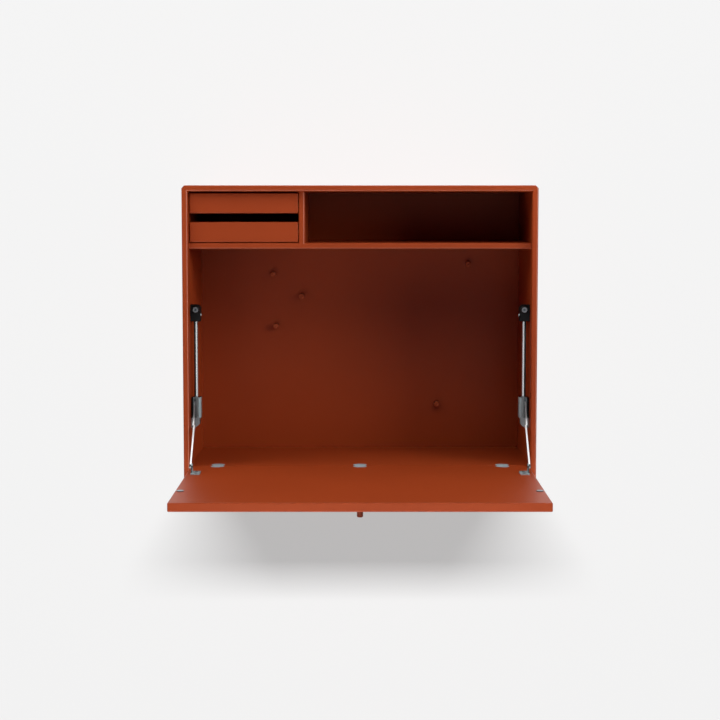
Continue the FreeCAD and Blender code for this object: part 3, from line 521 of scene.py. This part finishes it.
wall = stage_plane("wall", Matrix.Rotation(math.radians(90), 4, "X"),
                   (0, WALL_Y, FLOOR_Z + STAGE_HALF), stage_finish("pale_wall", WALL_SHADE))
floor = stage_plane("floor", Matrix.Identity(4),
                    (0, -STAGE_HALF, FLOOR_Z), stage_finish("pale_floor", FLOOR_SHADE))


# ---- lights --------------------------------------------------------------------------------------
# Soft boxes stand round the desk, over and under it, and light the desk alone. A long strip far
# off in front lights only the wall and the floor, where the flap alone throws its shadow.
ROOM_CENTRE = Vector((0.0, -0.3, -0.25))
BOX_DISTANCE = 2.6
BOX_SIZE = 1.2
SOFT_BOXES = (
    # name, azimuth, elevation, watts
    ("right_box", 58, 18, 33.0),
    ("high_right_box", 45, 40, 11.3),
    ("front_box", 15, 40, 11.2),
    ("left_box", -45, 40, 11.0),
    ("far_left_box", -75, 40, 25.0),
    ("overhead_box", 180, 89, 18.5),
    ("viewer_box", 8, -16, 3.2),
    ("low_front_box", 0, -35, 12.5),
    ("low_left_box", -36, -35, 18.0),
    ("under_box", 0, -55, 32.0),
    ("rear_box", 180, 45, 52.0),
)


def light_set(name, objects, state):
    """A collection that says what a lamp lights, or what throws its shadow."""
    chosen = bpy.data.collections.new(name)
    for thing in objects:
        chosen.objects.link(thing)
    for entry in chosen.collection_objects:
        entry.light_linking.link_state = state
    return chosen


def soft_box(name, azimuth, elevation, distance, width, height, watts):
    """A rectangular lamp that faces the desk. Azimuth 0 is in front, and grows to the right."""
    across, up = math.radians(azimuth), math.radians(elevation)
    away = Vector((math.sin(across) * math.cos(up), -math.cos(across) * math.cos(up), math.sin(up)))
    lamp = bpy.data.lights.new(name, "AREA")
    lamp.shape = "RECTANGLE"
    lamp.size = width
    lamp.size_y = height
    lamp.energy = watts
    box = bpy.data.objects.new(name, lamp)
    box.location = ROOM_CENTRE + away * distance
    box.rotation_euler = (-away).to_track_quat("-Z", "Y").to_euler()
    box.visible_camera = False
    bpy.context.scene.collection.objects.link(box)
    return box


desk_only = light_set("all_but_the_stage", (wall, floor), "EXCLUDE")
for name, azimuth, elevation, watts in SOFT_BOXES:
    box = soft_box(name, azimuth, elevation, BOX_DISTANCE, BOX_SIZE, BOX_SIZE, watts)
    box.light_linking.receiver_collection = desk_only
    box.light_linking.blocker_collection = desk_only

far_strip = soft_box("far_strip", azimuth=0, elevation=20.5, distance=30.0,
                     width=13.6, height=3.15, watts=21000.0)
far_strip.light_linking.receiver_collection = light_set("stage", (wall, floor), "INCLUDE")
far_strip.light_linking.blocker_collection = light_set("flap", (nodes["flap_panel"],), "INCLUDE")

world = bpy.data.worlds.new("room")
world.use_nodes = True
room_tree = world.node_tree
backdrop = room_tree.nodes["Background"]
backdrop.inputs["Color"].default_value = (1.0, 1.0, 1.0, 1.0)
room_tree.links.new(glow(room_tree, BACKGROUND, "Is Camera Ray"), backdrop.inputs["Strength"])
bpy.context.scene.world = world


# ---- camera --------------------------------------------------------------------------------------
# A long lens straight in front of the desk, 3.6 m from the wall. It stands level with the drawers
# and looks 5 degrees down.
CAMERA_PLACE = (0.0, -3.6247, 0.01165)
CAMERA_DOWN = math.radians(5.037)
CAMERA_LENS = 85.0
CAMERA_SENSOR = 36.0
camera = bpy.data.objects.new("camera", bpy.data.cameras.new("camera"))
camera.data.lens = CAMERA_LENS
camera.data.sensor_width = CAMERA_SENSOR
camera.location = CAMERA_PLACE
camera.rotation_euler = (math.radians(90.0) - CAMERA_DOWN, 0.0, 0.0)
bpy.context.scene.collection.objects.link(camera)
bpy.context.scene.camera = camera
bpy.context.scene.view_settings.view_transform = "Standard"
